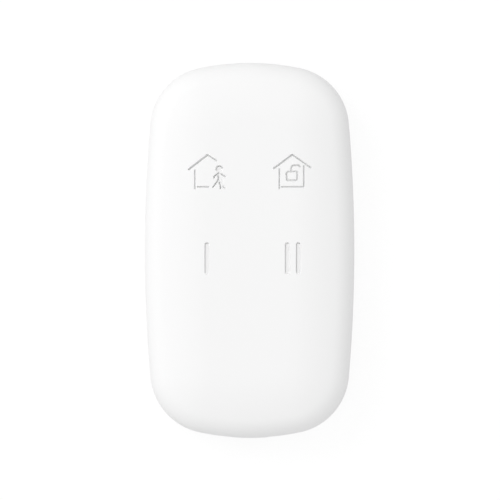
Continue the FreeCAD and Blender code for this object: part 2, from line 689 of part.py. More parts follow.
def loop_antenna():
    """The antenna: a flat metal strip round the top end of the board, on two feet."""
    low = BOARD_TOP + ANTENNA_RISE - ANTENNA_SHEET
    high = BOARD_TOP + ANTENNA_RISE
    half_length = (ANTENNA_TOP_Y - ANTENNA_FOOT_Y) / 2
    middle_y = (ANTENNA_TOP_Y + ANTENNA_FOOT_Y) / 2

    def slab(x, radius, y_spare):
        """A plate with two round corners at its top end."""
        plate = block(x, half_length, low, high, 0, middle_y - y_spare)
        top = middle_y - y_spare + half_length
        corners = [e for e in plate.Edges if min(v.Y for v in e.Vertexes) > top - TOUCH]
        upright = [e for e in corners if abs(e.Vertexes[0].Z - e.Vertexes[-1].Z) > TOUCH]
        return plate.makeFillet(radius, upright)

    outer = slab(ANTENNA_X, ANTENNA_CORNER_RADIUS, 0)
    inner = slab(ANTENNA_X - ANTENNA_WIDTH, ANTENNA_CORNER_RADIUS - ANTENNA_WIDTH, ANTENNA_WIDTH)
    half = ANTENNA_WIDTH / 2
    feet = []
    for sx in (-1, 1):
        foot_x = sx * (ANTENNA_X - half)
        feet.append(block(half, half, BOARD_TOP, high, foot_x, ANTENNA_FOOT_Y + half))
    return outer.cut(inner).fuse(feet).removeSplitter()


def indicator_led():
    """The indicator on the board below the light pipe: a base and a smaller clear top."""
    middle = BOARD_TOP + LED_HEIGHT / 2
    base = block(LED_LENGTH / 2, LED_WIDTH / 2, BOARD_TOP, middle, 0, LED_Y)
    top = block(LED_LENGTH / 3, LED_WIDTH / 2, middle, LED_TOP, 0, LED_Y)
    return base.fuse(top).removeSplitter()


def light_pipe():
    """The clear rod from the indicator to the thin spot of the skin, with a flange below the frame."""
    flange_top = FRAME_CEILING - PIPE_SEAT_GAP
    rod = zone(PIPE_REACH, LED_TOP + PIPE_LED_GAP, GLOW_TOP, 0, LED_Y)
    reach = PIPE_FLANGE_REACH
    flange = block(reach, reach, flange_top - PIPE_FLANGE, flange_top, 0, LED_Y)
    return rod.fuse(flange).removeSplitter()


def build():
    """Makes every piece and returns them by name."""
    front = front_body(0, OUTER_RIM_STEPS, OUTER_SHOULDER_STEPS, SPLIT_CHAMFER)
    under_skin = front_body(SKIN_WALL, INNER_RIM_STEPS, INNER_SHOULDER_STEPS)
    in_frame = front_body(FRAME_INSET, INNER_RIM_STEPS, INNER_SHOULDER_STEPS)
    inside = hollow_body(FRAME_INNER_INSET, INNER_RIM_STEPS)
    pieces = {
        "front_skin": front_skin(front, under_skin),
        "front_frame": front_frame(in_frame, inside),
        "rear_shell": rear_shell(),
        "rear_screws": rear_screws(),
        "circuit_board": circuit_board(),
        "radio_chip": radio_chip(),
        "crystal": crystal(),
        "board_small_parts": small_parts(),
        "loop_antenna": loop_antenna(),
        "indicator_led": indicator_led(),
        "light_pipe": light_pipe(),
        "coin_cell": coin_cell(),
        "battery_clip": battery_clip(),
        "battery_leaf": battery_leaf(),
    }
    for name, (x, y) in key_places().items():
        pieces[name + "_key_pad"] = key_pad(front, under_skin, x, y)
        pieces[name + "_key_plunger"] = key_plunger(in_frame, x, y)
        pieces[name + "_switch_case"] = switch_case(x, y)
        pieces[name + "_switch_stem"] = switch_stem(x, y)
        pieces[name + "_switch_dome"] = switch_dome(x, y)
    return pieces


def main():
    """Writes one STEP file for each piece."""
    os.makedirs("parts", exist_ok=True)
    for name, shape in build().items():
        solids = shape.Solids
        whole = solids[0] if len(solids) == 1 else Part.makeCompound(solids)
        whole.exportStep("parts/" + name + ".step")
        print(name, "solids", len(solids), "valid", whole.isValid(), "volume", round(whole.Volume, 2))


main()
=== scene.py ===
"""Looks of a four-key wireless alarm remote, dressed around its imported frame.

The remote lies on its back: X runs across the face, Y up the face to its top end and Z out of it.
Sizes are given in millimetres and turned into metres where a mesh is made.
"""

import bmesh
import bpy
import json
import logging
import math
import numpy as np
from collections.abc import Callable, Iterator
from contextlib import contextmanager
from dataclasses import dataclass
from enum import Enum
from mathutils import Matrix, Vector

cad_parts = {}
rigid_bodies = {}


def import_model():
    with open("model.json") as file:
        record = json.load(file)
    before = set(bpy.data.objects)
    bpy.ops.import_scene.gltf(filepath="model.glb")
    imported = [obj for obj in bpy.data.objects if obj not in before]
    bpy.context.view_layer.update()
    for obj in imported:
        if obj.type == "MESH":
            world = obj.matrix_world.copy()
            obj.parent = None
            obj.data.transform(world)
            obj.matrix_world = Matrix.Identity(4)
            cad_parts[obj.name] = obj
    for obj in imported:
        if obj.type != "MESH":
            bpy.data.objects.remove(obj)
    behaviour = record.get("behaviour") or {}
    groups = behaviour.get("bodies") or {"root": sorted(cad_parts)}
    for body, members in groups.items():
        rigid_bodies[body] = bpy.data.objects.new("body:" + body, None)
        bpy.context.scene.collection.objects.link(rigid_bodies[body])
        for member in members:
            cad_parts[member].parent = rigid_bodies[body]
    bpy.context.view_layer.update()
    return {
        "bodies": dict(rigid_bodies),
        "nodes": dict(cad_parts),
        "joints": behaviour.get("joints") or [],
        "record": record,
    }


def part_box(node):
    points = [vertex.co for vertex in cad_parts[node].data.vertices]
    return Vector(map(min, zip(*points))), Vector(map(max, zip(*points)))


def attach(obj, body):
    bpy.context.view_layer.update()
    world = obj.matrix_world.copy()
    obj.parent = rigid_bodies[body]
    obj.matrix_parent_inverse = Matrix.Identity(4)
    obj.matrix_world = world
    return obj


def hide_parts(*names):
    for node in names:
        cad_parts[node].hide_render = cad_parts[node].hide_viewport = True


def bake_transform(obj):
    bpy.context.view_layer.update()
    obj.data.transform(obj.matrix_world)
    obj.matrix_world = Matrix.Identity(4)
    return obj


MM = 0.001
HOUSING = "housing"
# Name of the mesh attribute that holds each point's share of its sign's depth; the skin's colour is darkened
# by it as painted shade in the grooves
RECESS_SHADE = "sunk_and_shaded"

# How far cutters reach past what they cut, up and down, then outwards, and the height of the tallest ones
OVER = 1.0
OUTSIDE = 5.0
THROUGH = 20.0

# Edges that turn by more degrees than this stay sharp, and rounds have so many steps and sides
SHARP_TURN = 32.0
EDGE_STEPS = 6
ROUND_SIDES = 48

Piece = bpy.types.Object
Socket = bpy.types.NodeSocket
Section = list[tuple[float, float]]
Colour = tuple[float, float, float]

log = logging.getLogger("remote")


# Mesh work


def select_only(piece: Piece) -> None:
    """Selects one object alone and makes it the active one.

    Args:
        piece: the object to work on.
    """
    bpy.ops.object.select_all(action="DESELECT")
    piece.select_set(True)
    bpy.context.view_layer.objects.active = piece


@contextmanager
def editing(piece: Piece, mode: str = "VERT", start: str = "SELECT") -> Iterator[None]:
    """Holds a piece in edit mode.

    Args:
        piece: the object to edit.
        mode: the kind of element that is selected, VERT, EDGE or FACE.
        start: SELECT to begin with all of it selected, or DESELECT with nothing.
    """
    select_only(piece)
    bpy.ops.object.mode_set(mode="EDIT")
    bpy.ops.mesh.select_mode(type=mode)
    bpy.ops.mesh.select_all(action=start)
    try:
        yield
    finally:
        bpy.ops.object.mode_set(mode="OBJECT")


def round_edges(piece: Piece, radius: float, rule: Callable[[bmesh.types.BMEdge], bool]) -> None:
    """Rounds the edges of a piece that follow a rule.

    Args:
        piece: the mesh.
        radius: the size of the round.
        rule: tells whether an edge is rounded.
    """
    with editing(piece, "EDGE", "DESELECT"):
        mesh = bmesh.from_edit_mesh(piece.data)
        for edge in mesh.edges:
            edge.select_set(rule(edge))
        bmesh.update_edit_mesh(piece.data)
        bpy.ops.mesh.bevel(offset=radius * MM, segments=EDGE_STEPS, affect="EDGES")


def below(edge: bmesh.types.BMEdge, height: float) -> bool:
    """Whether an edge lies below a height."""
    return all(vertex.co.z < height * MM for vertex in edge.verts)


def lengthwise(edge: bmesh.types.BMEdge) -> bool:
    """Whether an edge runs along the face."""
    return abs(edge.verts[0].co.y - edge.verts[1].co.y) > MM


def outward(piece: Piece) -> None:
    """Turns all faces of a closed piece outwards."""
    with editing(piece, "FACE"):
        bpy.ops.mesh.normals_make_consistent(inside=False)


def combine(piece: Piece, tool: Piece, operation: str = "DIFFERENCE") -> None:
    """Cuts a tool out of a piece, or joins it on, and removes the tool.

    Args:
        piece: the mesh that stays.
        tool: the mesh that is used up.
        operation: DIFFERENCE, UNION or INTERSECT.
    """
    select_only(piece)
    modifier = piece.modifiers.new("combine", "BOOLEAN")
    modifier.operation = operation
    modifier.solver = "EXACT"
    modifier.object = tool
    bpy.ops.object.modifier_apply(modifier=modifier.name)
    bpy.data.objects.remove(tool, do_unlink=True)


def points_of(piece: Piece) -> np.ndarray:
    """The vertices of a piece as an array of rows.

    Args:
        piece: the mesh to read.

    Returns:
        One row of x, y and z per vertex, in metres.
    """
    flat = np.zeros(len(piece.data.vertices) * 3)
    piece.data.vertices.foreach_get("co", flat)
    return flat.reshape(-1, 3)


def set_points(piece: Piece, points: np.ndarray) -> None:
    """Moves the vertices of a piece to rows of x, y and z in metres."""
    piece.data.vertices.foreach_set("co", points.ravel())
    piece.data.update()


def settled(name: str = "cutter") -> Piece:
    """Names the object that was just added and moves its place and scale into its mesh.

    Args:
        name: its name.

    Returns:
        The object.
    """
    piece = bpy.context.object
    piece.name = name
    bpy.ops.object.transform_apply(location=True, rotation=True, scale=True)
    return piece


def copied(piece: Piece, name: str, place: Vector) -> Piece:
    """A copy of a piece with its own mesh, moved to another place.

    Args:
        piece: the piece to copy.
        name: the copy's name.
        place: how far the copy is moved, in metres.

    Returns:
        The copy.
    """
    copy = piece.copy()
    copy.data = piece.data.copy()
    copy.location = place
    bpy.context.scene.collection.objects.link(copy)
    select_only(copy)
    return settled(name)


def drum(sides: int, radius: float, low: float, high: float, y: float, x: float = 0.0) -> Piece:
    """An upright many-sided prism, the start of bosses, screws and cutters.

    Args:
        sides: how many sides it has.
        radius: from its middle to its corners.
        low: height of its foot.
        high: height of its top.
        y: place along the face.
        x: place across the face.

    Returns:
        The new piece.
    """
    depth = (high - low) * MM
    centre = (x * MM, y * MM, (low + high) / 2 * MM)
    bpy.ops.mesh.primitive_cylinder_add(vertices=sides, radius=radius * MM, depth=depth, location=centre)
    return settled()


def slab(size: tuple, centre: tuple) -> Piece:
    """An upright box, the start of eyes and cutters.

    Args:
        size: its three sizes.
        centre: its middle.

    Returns:
        The new piece.
    """
    bpy.ops.mesh.primitive_cube_add(size=1.0, location=Vector(centre) * MM)
    bpy.context.object.scale = Vector(size) * MM
    return settled()


# Form of the housing


def arc(inset: float, height: float, radius: float, turns: np.ndarray) -> Section:
    """Points of an arc in a wall's section about a middle, at angles from straight up."""
    return [(inset - radius * math.sin(turn), height + radius * math.cos(turn)) for turn in turns]


@dataclass(frozen=True)
class Pebble:
    """The outer form of the remote: a rounded outline and the curves of its walls, in millimetres."""

    length: float = 63.0
    width: float = 35.2
    side_radius: float = 248.0
    end_radius: float = 41.0
    corner_radius: float = 10.4
    thickness: float = 12.0
    split_height: float = 4.6
    front_rim_radius: float = 4.3
    rear_rim_radius: float = 4.2
    slope: float = math.radians(17.0)
    plateau_inset: float = 10.2
    chamfer: float = 0.2
    chamfer_middle: float = 0.06
    side_steps: int = 8
    corner_steps: int = 22
    end_steps: int = 8
    rim_steps: int = 16
    shoulder_steps: int = 24
    inner_steps: int = 8

    @property
    def shoulder_radius(self) -> float:
        """Radius of the shoulder, tangent to the rim and to the plateau."""
        rim_reach = self.front_rim_radius * (1 - math.sin(self.slope))
        return (self.plateau_inset - rim_reach) / math.sin(self.slope)

    @property
    def shoulder_centre(self) -> float:
        """Height of the middle of the shoulder arc."""
        return self.thickness - self.shoulder_radius

    @property
    def front_rim_centre(self) -> float:
        """Height of the middle of the front rim arc."""
        return self.shoulder_centre + (self.shoulder_radius - self.front_rim_radius) * math.cos(self.slope)

    @property
    def arcs(self) -> tuple:
        """The tangent arcs of one quarter of the outline, from the right side to the top end.

        Returns:
            The middle of each arc, its radius, the first and last angle of its normals and its steps.
        """
        side = Vector((self.width / 2 - self.side_radius, 0.0))
        end = Vector((0.0, self.length / 2 - self.end_radius))
        from_side = self.side_radius - self.corner_radius
        from_end = self.end_radius - self.corner_radius
        line = end - side
        along = (from_side**2 - from_end**2 + line.length_squared) / (2 * line.length)
        across = math.sqrt(from_side**2 - along**2)
        u = line.normalized()
        corner = side + u * along + Vector((-u.y, u.x)) * across
        turns = [math.atan2(*(corner - middle).yx) for middle in (side, end)]
        return (
            (side, self.side_radius, 0.0, turns[0], self.side_steps),
            (corner, self.corner_radius, *turns, self.corner_steps),
            (end, self.end_radius, turns[1], math.pi / 2, self.end_steps),
        )

    def stations(self) -> np.ndarray:
        """Points all round the outline.

        Returns:
            Each point with its outward direction, anticlockwise from the middle of the right side.
        """
        rows = []
        for middle, radius, first, last, steps in self.arcs:
            for turn in np.linspace(first, last, steps, endpoint=False):
                out = np.array((math.cos(turn), math.sin(turn)))
                rows.append((np.array(middle) + out * radius, out))
        quarter = np.array((*rows, ((0.0, self.length / 2), (0.0, 1.0))))
        half = np.concatenate((quarter, quarter[-2:0:-1] * (-1, 1)))
        return np.concatenate((half, -half))

    def depth(self, x: np.ndarray, y: np.ndarray) -> np.ndarray:
        """How far points lie inside the outline.

        Args:
            x: places across the face.
            y: places along the face.

        Returns:
            The distance to the nearest arc.
        """
        nearest = np.full(x.shape, self.length)
        for middle, radius, first, last, _ in self.arcs:
            across, along = np.abs(x) - middle.x, np.abs(y) - middle.y
            turn = np.arctan2(along, across)
            faced = (first <= turn) & (turn <= last)
            nearest = np.where(faced, np.minimum(nearest, radius - np.hypot(across, along)), nearest)
        return nearest

    def face_height(self, x: np.ndarray, y: np.ndarray, inset: float = 0.0) -> np.ndarray:
        """Height of the face over places on it.

        Args:
            x: places across the face.
            y: places along the face.
            inset: how far below the outer face the wanted surface lies.

        Returns:
            The heights.
        """
        depth = self.depth(x, y)
        arm = self.shoulder_radius - inset
        out = np.clip(self.plateau_inset - depth, 0.0, arm * math.sin(self.slope))
        shoulder = self.shoulder_centre + np.sqrt(arm**2 - out**2)
        rim_arm = self.front_rim_radius - inset
        reach = np.clip(self.front_rim_radius - depth, 0.0, rim_arm)
        rim = self.front_rim_centre + np.sqrt(rim_arm**2 - reach**2)
        on_rim = depth < self.plateau_inset - arm * math.sin(self.slope)
        return np.where(on_rim, rim, shoulder)

    def front_curve(self, inset: float = 0.0) -> Section:
        """Section of the front half from the plateau down to where its wall stands upright.

        Args:
            inset: how far the section is moved inwards.

        Returns:
            Inset from the outline and height of each point.
        """
        steps = (self.inner_steps, self.inner_steps) if inset else (self.shoulder_steps, self.rim_steps)
        turns = np.linspace(0.0, self.slope, steps[0], endpoint=False)
        shoulder = arc(self.plateau_inset, self.shoulder_centre, self.shoulder_radius - inset, turns)
        turns = np.linspace(self.slope, math.pi / 2, steps[1] + 1)
        radius = self.front_rim_radius
        return shoulder + arc(radius, self.front_rim_centre, radius - inset, turns)

    def rear_curve(self, inset: float = 0.0) -> Section:
        """Section of the rear half from its flat up to where its wall stands upright.

        Args:
            inset: how far the section is moved inwards.

        Returns:
            Inset from the outline and height of each point.
        """
        steps = self.inner_steps if inset else self.rim_steps
        turns = np.linspace(math.pi, math.pi / 2, steps + 1)
        radius = self.rear_rim_radius
        return arc(radius, radius, radius - inset, turns)


def ring_wall(name: str, form: Pebble, section: Section) -> Piece:
    """A closed wall that is grown ring by ring from a disc, whose rings then move to the outline.

    Args:
        name: the object's name.
        form: the form whose outline the rings follow.
        section: inset and height of each ring, in order.

    Returns:
        The closed piece.
    """
    stations = form.stations()
    bpy.ops.mesh.primitive_circle_add(vertices=len(stations), radius=form.width * MM, fill_type="NGON")
    piece = settled(name)
    with editing(piece, "FACE"):
        for _ in section[1:]:
            bpy.ops.mesh.extrude_region_move(TRANSFORM_OT_translate={"value": (0, 0, MM)})
    x, y, rise = points_of(piece).T
    station = np.rint(np.arctan2(y, x) / math.tau * len(stations)).astype(int)
    ring = np.rint(rise / MM).astype(int)
    point, direction = stations[station].swapaxes(0, 1)
    inset, height = np.array(section)[ring].T
    set_points(piece, np.column_stack((point - direction * inset[:, None], height)) * MM)
    outward(piece)
    return piece


# Finishes


# Places of the sockets of a mix node
SHARE = 0
FIRST_VALUE = 2
SECOND_VALUE = 3
FIRST_COLOUR = 6
SECOND_COLOUR = 7
MIXED_COLOUR = 2


class NodeSheet:
    """A node tree, with a short way to add nodes to it."""

    def __init__(self, tree: bpy.types.NodeTree) -> None:
        """Takes the tree to work on."""
        self.tree = tree

    def feed(self, node: bpy.types.Node, inputs: dict) -> None:
        """Gives a node its inputs.

        Args:
            node: the node.
            inputs: a plain value, or the socket to join, by each input's name or number.
        """
        for key, value in inputs.items():
            if isinstance(value, Socket):
                self.tree.links.new(value, node.inputs[key])
            else:
                node.inputs[key].default_value = value

    def add(self, kind: str, out: int | str, inputs: dict, **settings: object) -> Socket:
        """Adds a node.

        Args:
            kind: the name of its type, without ShaderNode.
            out: the name or number of the output that is wanted.
            inputs: what feed takes.
            settings: its other settings.

        Returns:
            The wanted output.
        """
        node = self.tree.nodes.new("ShaderNode" + kind)
        for key, value in settings.items():
            setattr(node, key, value)
        self.feed(node, inputs)
        return node.outputs[out]


class FinishSheet(NodeSheet):
    """The node tree of a material."""

    def __init__(self, name: str) -> None:
        """Makes a material of that name, with a plain shader.

        Args:
            name: the material's name.
        """
        self.material = bpy.data.materials.new(name)
        self.material.use_nodes = True
        super().__init__(self.material.node_tree)
        self.shader = self.tree.nodes["Principled BSDF"]
        self.place = self.add("TexCoord", "Object", {})

    def noise(
        self, scale: float, detail: float = 2.0, roughness: float = 0.5, place: Socket | None = None
    ) -> Socket:
        """A noise pattern over the piece.

        Args:
            scale: how many waves fit in a metre.
            detail: how many finer layers it has.
            roughness: how strong the finer layers are.
            place: other coordinates than the piece's own.

        Returns:
            The pattern's value.
        """
        values = {"Vector": place or self.place, "Scale": scale, "Detail": detail, "Roughness": roughness}
        return self.add("TexNoise", "Fac", values)

    def tint(self, pattern: Socket, low: Colour, high: Colour, recess_shade_share: float = 1.0) -> None:
        """Colours the surface by a pattern, with painted shade in the sign grooves where asked.

        Args:
            pattern: the pattern of 0 to 1.
            low: the colour at 0.
            high: the colour at 1.
            recess_shade_share: how much of the colour is left where the mesh's groove depth mark is full, as
                painted shade.
        """
        inputs = {SHARE: pattern, FIRST_COLOUR: (*low, 1.0), SECOND_COLOUR: (*high, 1.0)}
        colour = self.add("Mix", MIXED_COLOUR, inputs, data_type="RGBA")
        # Painted shade: the colour is multiplied down towards this share by the groove depth stored on the
        # mesh
        if recess_shade_share < 1:
            shade_mark = self.add("Attribute", "Fac", {}, attribute_name=RECESS_SHADE)
            grey = (recess_shade_share, recess_shade_share, recess_shade_share, 1.0)
            inputs = {SHARE: shade_mark, FIRST_COLOUR: colour, SECOND_COLOUR: grey}
            colour = self.add("Mix", MIXED_COLOUR, inputs, data_type="RGBA", blend_type="MULTIPLY")
        self.feed(self.shader, {"Base Color": colour})

    def gloss(self, pattern: Socket, low: float, high: float) -> None:
        """Makes the roughness uneven.

        Args:
            pattern: the pattern of 0 to 1.
            low: the roughness at 0.
            high: the roughness at 1.
        """
        spread = self.add("MapRange", "Result", {"Value": pattern, "To Min": low, "To Max": high})
        self.feed(self.shader, {"Roughness": spread})

    def bump(self, pattern: Socket, height: float, strength: float) -> None:
        """Raises the surface by a pattern, on top of an earlier bump.

        Args:
            pattern: the pattern.
            height: its full height.
            strength: how much of it shows.
        """
        inputs = {"Height": pattern, "Strength": strength, "Distance": height * MM}
        earlier = self.shader.inputs["Normal"].links
        if earlier:
            inputs["Normal"] = earlier[0].from_socket
        self.feed(self.shader, {"Normal": self.add("Bump", "Normal", inputs)})


def shade(colour: Colour, factor: float) -> Colour:
    """A colour made darker or lighter by a factor, at most white."""
    return tuple(min(1.0, c * factor) for c in colour)


@dataclass(frozen=True)
class MouldedPlastic:
    """A moulded plastic or rubber with a grain and slight cloudiness."""

    colour: Colour
    roughness: float
    grain: float = 0.06
    grain_height: float = 0.004
    grain_strength: float = 0.3
    cloud: float = 0.01
    # Share of the colour left at the bottom of the sign grooves: painted shade
    recess_shade_share: float = 1.0
    cloud_scale: float = 120.0
    cloud_detail: float = 3.0
    gloss_scale: float = 900.0
    gloss_spread: float = 0.05
    fine_roughness: float = 0.6
    coarse_scale: float = 0.2
    coarse_detail: float = 1.0

    def build(self, sheet: FinishSheet) -> None:
        """Sets up a cloudy tint with painted shade in the sign grooves where its share is below one, an
        uneven gloss and two sizes of grain.

        Args:
            sheet: the material's node tree.
        """
        clouds = sheet.noise(self.cloud_scale, self.cloud_detail)
        dark, light = shade(self.colour, 1 - self.cloud), shade(self.colour, 1 + self.cloud)
        sheet.tint(clouds, dark, light, self.recess_shade_share)
        low, high = self.roughness - self.gloss_spread, self.roughness + self.gloss_spread
        sheet.gloss(sheet.noise(self.gloss_scale), low, high)
        fine = sheet.noise(1 / (self.grain * MM), roughness=self.fine_roughness)
        sheet.bump(fine, self.grain_height, self.grain_strength)
        coarse = sheet.noise(self.coarse_scale / (self.grain * MM), self.coarse_detail)
        sheet.bump(coarse, self.grain_height, self.grain_strength / 2)


@dataclass(frozen=True)
class PlatedMetal:
    """A plated or drawn metal with fine lines along X."""

    colour: Colour
    roughness: float
    wear: float = 0.06
    stain_scale: float = 400.0
    stain_detail: float = 4.0
    smoothest: float = 0.06
    roughest: float = 0.08
    line_pitch: float = 0.05
    line_stretch: float = 0.05
    line_height: float = 0.003
    line_strength: float = 0.25

    def build(self, sheet: FinishSheet) -> None:
        """Sets up drawn lines, stains and an uneven gloss.

        Args:
            sheet: the material's node tree.
        """
        sheet.feed(sheet.shader, {"Metallic": 1.0})
        stain = sheet.noise(self.stain_scale, self.stain_detail)
        sheet.tint(stain, shade(self.colour, 1 - self.wear), shade(self.colour, 1 + self.wear))
        sheet.gloss(stain, self.roughness - self.smoothest, self.roughness + self.roughest)
        stretched = {"Scale": (self.line_stretch, 1.0, 1.0), "Vector": sheet.place}
        place = sheet.add("Mapping", "Vector", stretched)
        lines = sheet.noise(1 / (self.line_pitch * MM), place=place)
        sheet.bump(lines, self.line_height, self.line_strength)


@dataclass(frozen=True)
class BoardLaminate:
    """Solder mask over copper tracks that run in square patches, along X in some and along Y in others."""

    mask: Colour
    track: Colour
    patch: float = 2.4
    track_pitch: float = 0.6
    track_edge: tuple[float, float] = (0.52, 0.62)
    used_share: float = 0.72
    gloss_scale: float = 1500.0
    gloss_limits: tuple[float, float] = (0.25, 0.4)
    step_height: float = 0.02
    step_strength: float = 0.5
    wave_rate: float = 20.0

    def tracks(self, sheet: FinishSheet) -> Socket:
        """The pattern of the tracks, 1 on copper.

        Args:
            sheet: the node tree to add to.

        Returns:
            The pattern's value.
        """
        wave = {"Vector": sheet.place, "Scale": math.tau / (self.wave_rate * self.track_pitch * MM)}
        along, across = (sheet.add("TexWave", "Fac", wave, bands_direction=way) for way in "XY")
        grid = {"Vector": sheet.place, "Scale": 1 / (self.patch * MM), "Randomness": 0.0}
        patches = sheet.add("TexVoronoi", "Color", grid, distance="CHEBYCHEV")
        chance = sheet.add("SeparateColor", "Red", {"Color": patches}).node.outputs
        turned = sheet.add("Math", 0, {0: chance["Red"]}, operation="GREATER_THAN")
        ways = {SHARE: turned, FIRST_VALUE: along, SECOND_VALUE: across}
        lines = sheet.add("Mix", 0, ways, data_type="FLOAT")
        low, high = self.track_edge
        edge = sheet.add("MapRange", "Result", {"Value": lines, "From Min": low, "From Max": high})
        used = sheet.add("Math", 0, {0: chance["Green"], 1: self.used_share}, operation="LESS_THAN")
        return sheet.add("Math", 0, {0: edge, 1: used}, operation="MULTIPLY", use_clamp=True)

    def build(self, sheet: FinishSheet) -> None:
        """Sets up a lighter green and a low step where copper lies under the mask.

        Args:
            sheet: the material's node tree.
        """
        copper = self.tracks(sheet)
        sheet.tint(copper, self.mask, self.track)
        sheet.gloss(sheet.noise(self.gloss_scale), *self.gloss_limits)
        sheet.bump(copper, self.step_height, self.step_strength)


@dataclass(frozen=True)
class ClearResin:
    """A clear moulded resin with faint flow lines."""

    colour: Colour
    roughness: float
    clearness: float = 0.85
    refraction: float = 1.49
    flow_scale: float = 600.0
    flow_detail: float = 3.0
    flow_shade: float = 0.97
    flow_height: float = 0.01
    flow_strength: float = 0.2
    gloss_spread: float = 0.08

    def build(self, sheet: FinishSheet) -> None:
        """Sets up a glass-like body with a slightly uneven gloss and faint flow lines.

        Args:
            sheet: the material's node tree.
        """
        sheet.feed(sheet.shader, {"Transmission Weight": self.clearness, "IOR": self.refraction})
        flow = sheet.noise(self.flow_scale, self.flow_detail)
        sheet.tint(flow, shade(self.colour, self.flow_shade), self.colour)
        sheet.gloss(flow, self.roughness, self.roughness + self.gloss_spread)
        sheet.bump(flow, self.flow_height, self.flow_strength)


class Finish(Enum):
    """The finishes of the remote, each named after its material slot."""

    # The soft skin keeps 0.92 of its colour at the bottom of its sign grooves: painted shade
    SOFT_SKIN = MouldedPlastic((0.905, 0.905, 0.905), 0.62, 0.05, 0.004, 0.25, 0.004, 0.92)
    REAR_PLASTIC = MouldedPlastic((0.88, 0.88, 0.88), 0.5, 0.12, 0.012, 0.5, 0.006)
    FRAME_PLASTIC = MouldedPlastic((0.82, 0.82, 0.8), 0.45, 0.2, 0.006, 0.3, 0.01)
    PACKAGE_BLACK = MouldedPlastic((0.03, 0.03, 0.032), 0.55, 0.05, 0.006, 0.5, 0.1)
    STEM_PLASTIC = MouldedPlastic((0.55, 0.2, 0.12), 0.42, 0.15, 0.004, 0.3, 0.02)
    COMPONENT_CERAMIC = MouldedPlastic((0.45, 0.36, 0.27), 0.4, 0.04, 0.004, 0.4, 0.08)
    SCREW_STEEL = PlatedMetal((0.62, 0.62, 0.6), 0.34)
    NICKEL_SILVER = PlatedMetal((0.7, 0.7, 0.68), 0.3)
    COPPER_STRIP = PlatedMetal((0.72, 0.43, 0.28), 0.32)
    CELL_CAN = PlatedMetal((0.7, 0.7, 0.7), 0.26)
    CONTACT_METAL = PlatedMetal((0.72, 0.7, 0.64), 0.28)
    BOARD_LAMINATE = BoardLaminate((0.02, 0.12, 0.06), (0.09, 0.27, 0.12))
    LED_RESIN = ClearResin((0.9, 0.88, 0.7), 0.12)
    CLEAR_PLASTIC = ClearResin((0.9, 0.92, 0.93), 0.08)

    @property
    def slot(self) -> str:
        """The material slot in the record that the finish is for."""
        return self.name.lower()


class PaintShop:
    """Keeps one material per finish and puts it on pieces."""

    def __init__(self) -> None:
        """Builds every finish once."""
        self.materials = {}
        for finish in Finish:
            sheet = FinishSheet(finish.slot)
            finish.value.build(sheet)
            self.materials[finish.slot] = sheet.material

    def paint(self, piece: Piece, slot: str) -> None:
        """Puts the material of a slot on a piece."""
        piece.data.materials.clear()
        piece.data.materials.append(self.materials[slot])

    def dress(self, piece: Piece, finish: Finish) -> None:
        """Shades a modelled piece smooth and gives it the material of its finish, named after its slot in the
        record.

        Args:
            piece: the object to paint.
            finish: the finish it gets.
        """
        select_only(piece)
        bpy.ops.object.shade_smooth_by_angle(angle=math.radians(SHARP_TURN))
        self.paint(piece, finish.slot)


# Signs on the keys


@dataclass(frozen=True)
class Stroke:
    """One recessed line of a sign, through points about the key's middle, in millimetres."""

    width: float
    points: tuple
    depth: float = 1.0

    def distance(self, x: np.ndarray, y: np.ndarray) -> np.ndarray:
        """How far places are from the stroke's edge, negative inside it.

        Args:
            x: places across the key.
            y: places along the key.

        Returns:
            The distances in millimetres.
        """
        ends = self.points if len(self.points) > 1 else self.points * 2
        nearest = np.full(x.shape, np.inf)
        for (ax, ay), (bx, by) in zip(ends, ends[1:]):
            dx, dy = bx - ax, by - ay
            squared = dx * dx + dy * dy
            along = ((x - ax) * dx + (y - ay) * dy) / squared if squared else np.zeros(x.shape)
            along = np.clip(along, 0.0, 1.0)
            nearest = np.minimum(nearest, np.hypot(x - ax - along * dx, y - ay - along * dy))
        return nearest - self.width / 2


# Widths of the strokes, and their depths as shares of the full one
ROOF = 0.25
WALL = 0.17
LIMB = 0.17
BODY = 0.44
CAP = 0.15
FOOT = 0.2
LOCK = 0.21
HEAD = 1.08
BAR = 0.72
EDGE = 0.13
HEAD_DEPTH = 0.55
BODY_DEPTH = 0.4
BAR_DEPTH = 0.6
EDGE_DEPTH = 0.95
FIRM = 0.85
FAINT = 0.3

HOUSE_LEFT = (
    Stroke(ROOF, ((-2.96, 0.23), (0.14, 2.62))),
    Stroke(WALL, ((0.14, 2.66), (1.66, 1.66)), FIRM),
    Stroke(WALL, ((-1.98, 0.10), (-1.98, -3.02)), FIRM),
    Stroke(WALL, ((-1.52, -2.70), (0.36, -2.70)), FIRM),
)
CAP_LINE = ((1.60, 0.14), (1.61, 0.42), (1.76, 0.66), (2.02, 0.79), (2.30, 0.77), (2.52, 0.62), (2.64, 0.38))
WALKING_FIGURE = (
    Stroke(HEAD, ((2.13, 0.26),), HEAD_DEPTH),
    Stroke(CAP, CAP_LINE),
    Stroke(BODY, ((2.16, -0.62), (2.18, -1.45)), BODY_DEPTH),
    Stroke(BODY, ((2.26, -1.55), (2.62, -2.72)), BODY_DEPTH),
    Stroke(LIMB, ((2.02, -0.36), (1.22, -0.99), (1.26, -1.20))),
    Stroke(LIMB, ((2.46, -0.58), (3.14, -1.02)), FIRM),
    Stroke(LIMB, ((1.90, -0.90), (1.97, -1.40), (1.64, -1.98), (1.08, -2.74))),
    Stroke(FOOT, ((2.10, -2.00), (2.28, -2.40), (2.34, -2.98))),
    Stroke(LIMB, ((2.46, -1.15), (2.80, -2.50)), FAINT),
    Stroke(FOOT, ((2.72, -2.62), (3.02, -2.90)), FIRM),
)
